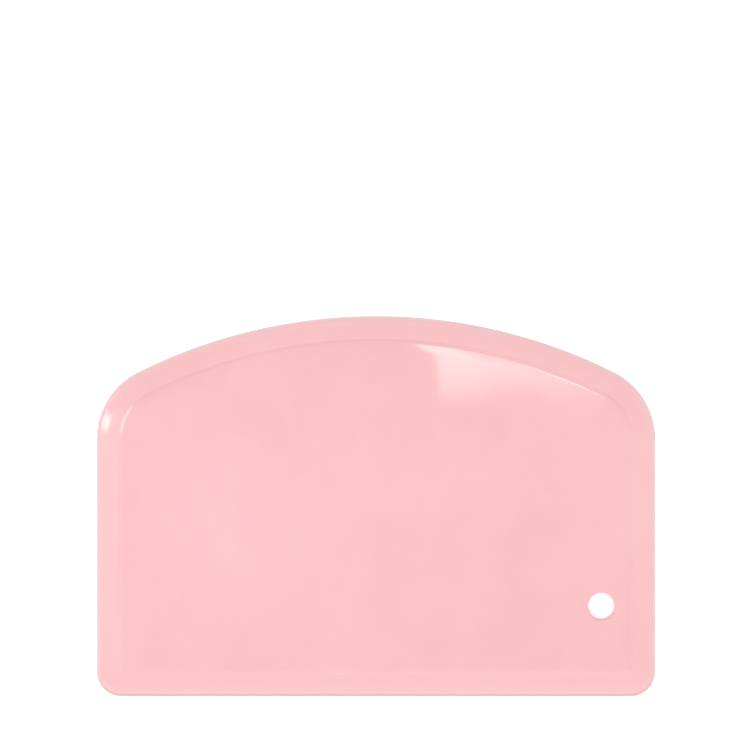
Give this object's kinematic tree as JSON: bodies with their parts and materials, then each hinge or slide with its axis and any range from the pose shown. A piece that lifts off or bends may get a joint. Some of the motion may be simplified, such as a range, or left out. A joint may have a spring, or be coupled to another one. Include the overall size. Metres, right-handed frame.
{
  "type": "dough scraper",
  "caption": "Flat moulded plastic hand scraper with an arched upper edge, a straight scraping edge, a thinned rim round a raised panel, and a hanging hole near one side.",
  "frame": {"origin": "centre of the plate's outline, on the flat back that it lies on", "axes": "+X along the straight scraping edge, towards the hole's side; +Y from the straight edge to the arched edge; +Z out of the face with the raised panel"},
  "size_m": [0.14, 0.0952, 0.002],
  "materials": {
    "pink_plastic": "smooth, glossy pale pink polypropylene, a little translucent where it is thin"
  },
  "bodies": {
    "root": {"scraper_plate": "pink_plastic"}
  },
  "joints": []
}
